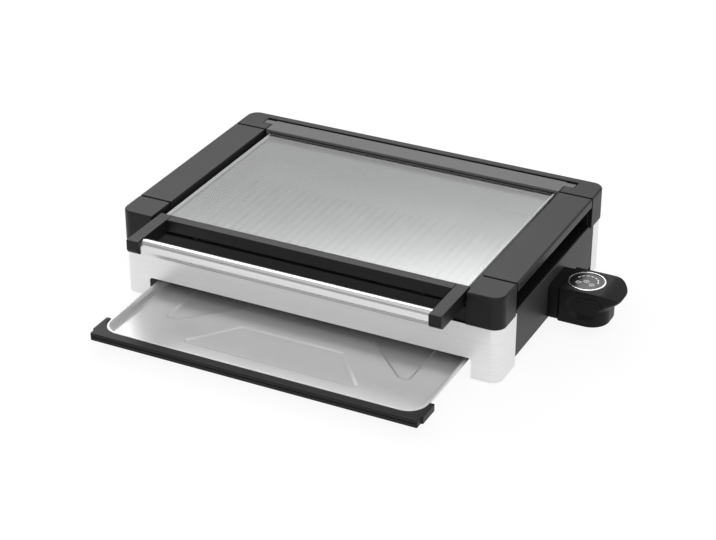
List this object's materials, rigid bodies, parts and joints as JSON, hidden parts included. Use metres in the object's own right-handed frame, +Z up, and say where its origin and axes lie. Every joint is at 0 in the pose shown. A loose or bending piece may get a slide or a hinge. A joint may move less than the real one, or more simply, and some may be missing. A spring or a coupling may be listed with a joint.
{
  "type": "electric table grill",
  "caption": "Low table grill with a ribbed cooking plate under a hinged flat glass lid, a drawn-out drip tray and a plug-in controller with a round display.",
  "frame": {"origin": "on the table, under the middle of the whole grill with its tray drawn out and its controller on", "axes": "+Z up, +X to the right towards the controller, -Y to the front where the tray draws out"},
  "size_m": [0.5858, 0.467, 0.1135],
  "materials": {
    "skin_steel": "fine brushed, sideways",
    "housing_plastic": "moulded black, matte",
    "panel_plastic": "dark grey, matte",
    "frame_plastic": "fine grained black, satin",
    "grip_plastic": "fine grained black, satin",
    "lid_plastic": "fine grained black, satin",
    "lid_glass": "clear toughened glass with ground edges",
    "soft_black": "matte",
    "tube_steel": "brushed round",
    "plate_coating": "cast, with a dark non-stick coating",
    "tray_metal": "satin pressed sheet",
    "tray_plastic": "fine grained black, satin",
    "small_steel": "plain",
    "heater_steel": "heat darkened tube",
    "reflector_metal": "bright sheet",
    "bush_plastic": "heat-proof moulding",
    "control_plastic": "black, satin gloss",
    "ring_metal": "bright",
    "display_dark": "glossy dark window with plain marks",
    "board_green": "coated board",
    "sleeve_brass": "plain"
  },
  "bodies": {
    "grill": {"corner_legs": "housing_plastic", "side_beam_left": "housing_plastic", "side_beam_right": "housing_plastic", "chamber_side_left": "housing_plastic", "chamber_side_right": "housing_plastic", "front_beam": "housing_plastic", "rear_beam": "housing_plastic", "tray_stop": "housing_plastic", "front_skin": "skin_steel", "rear_skin": "skin_steel", "side_panel_left": "panel_plastic", "side_panel_right": "panel_plastic", "front_frame": "frame_plastic", "rear_frame": "frame_plastic", "hinge_bushes": "bush_plastic", "slot_liner_left": "frame_plastic", "slot_liner_right": "frame_plastic", "plate_grip_left": "grip_plastic", "plate_grip_right": "grip_plastic", "grip_screws": "small_steel", "grill_plate": "plate_coating", "plate_supports": "small_steel", "heating_element": "heater_steel", "element_bars": "small_steel", "reflector_pan": "reflector_metal", "terminal_socket": "bush_plastic", "contact_pins": "small_steel", "tray_rail_left": "reflector_metal", "tray_rail_right": "reflector_metal", "rail_screws": "small_steel", "foot_pads": "soft_black", "tie_screws": "small_steel"},
    "lid": {"lid_glass": "lid_glass", "glass_gaskets": "soft_black", "lid_front_rail": "lid_plastic", "lid_rear_bar": "lid_plastic", "handle_arm_left": "lid_plastic", "handle_arm_right": "lid_plastic", "handle_tube": "tube_steel", "arm_screws": "small_steel", "hinge_pins": "small_steel", "lid_pads": "soft_black"},
    "tray": {"drip_tray": "tray_metal", "tray_front": "tray_plastic", "tray_rivets": "small_steel"},
    "controller": {"control_top_shell": "control_plastic", "control_bottom_shell": "control_plastic", "control_neck": "control_plastic", "display_ring": "ring_metal", "display_glass": "display_dark", "circuit_board": "board_green", "temperature_probe": "small_steel", "contact_sleeves": "sleeve_brass", "control_screws": "small_steel", "cord_gland": "soft_black"}
  },
  "joints": [
    {"name": "lid_hinge", "type": "hinge", "parent": "grill", "child": "lid", "pos_m": [-0.0419, 0.2115, 0.1075], "axis": [-1, 0, 0], "range_deg": [0, 100]},
    {"name": "tray_slide", "type": "slide", "parent": "grill", "child": "tray", "axis": [0, -1, 0], "range_m": [-0.138, 0.166]},
    {"name": "controller_pull", "type": "slide", "parent": "grill", "child": "controller", "axis": [1, 0, 0], "range_m": [0, 0.085]}
  ]
}
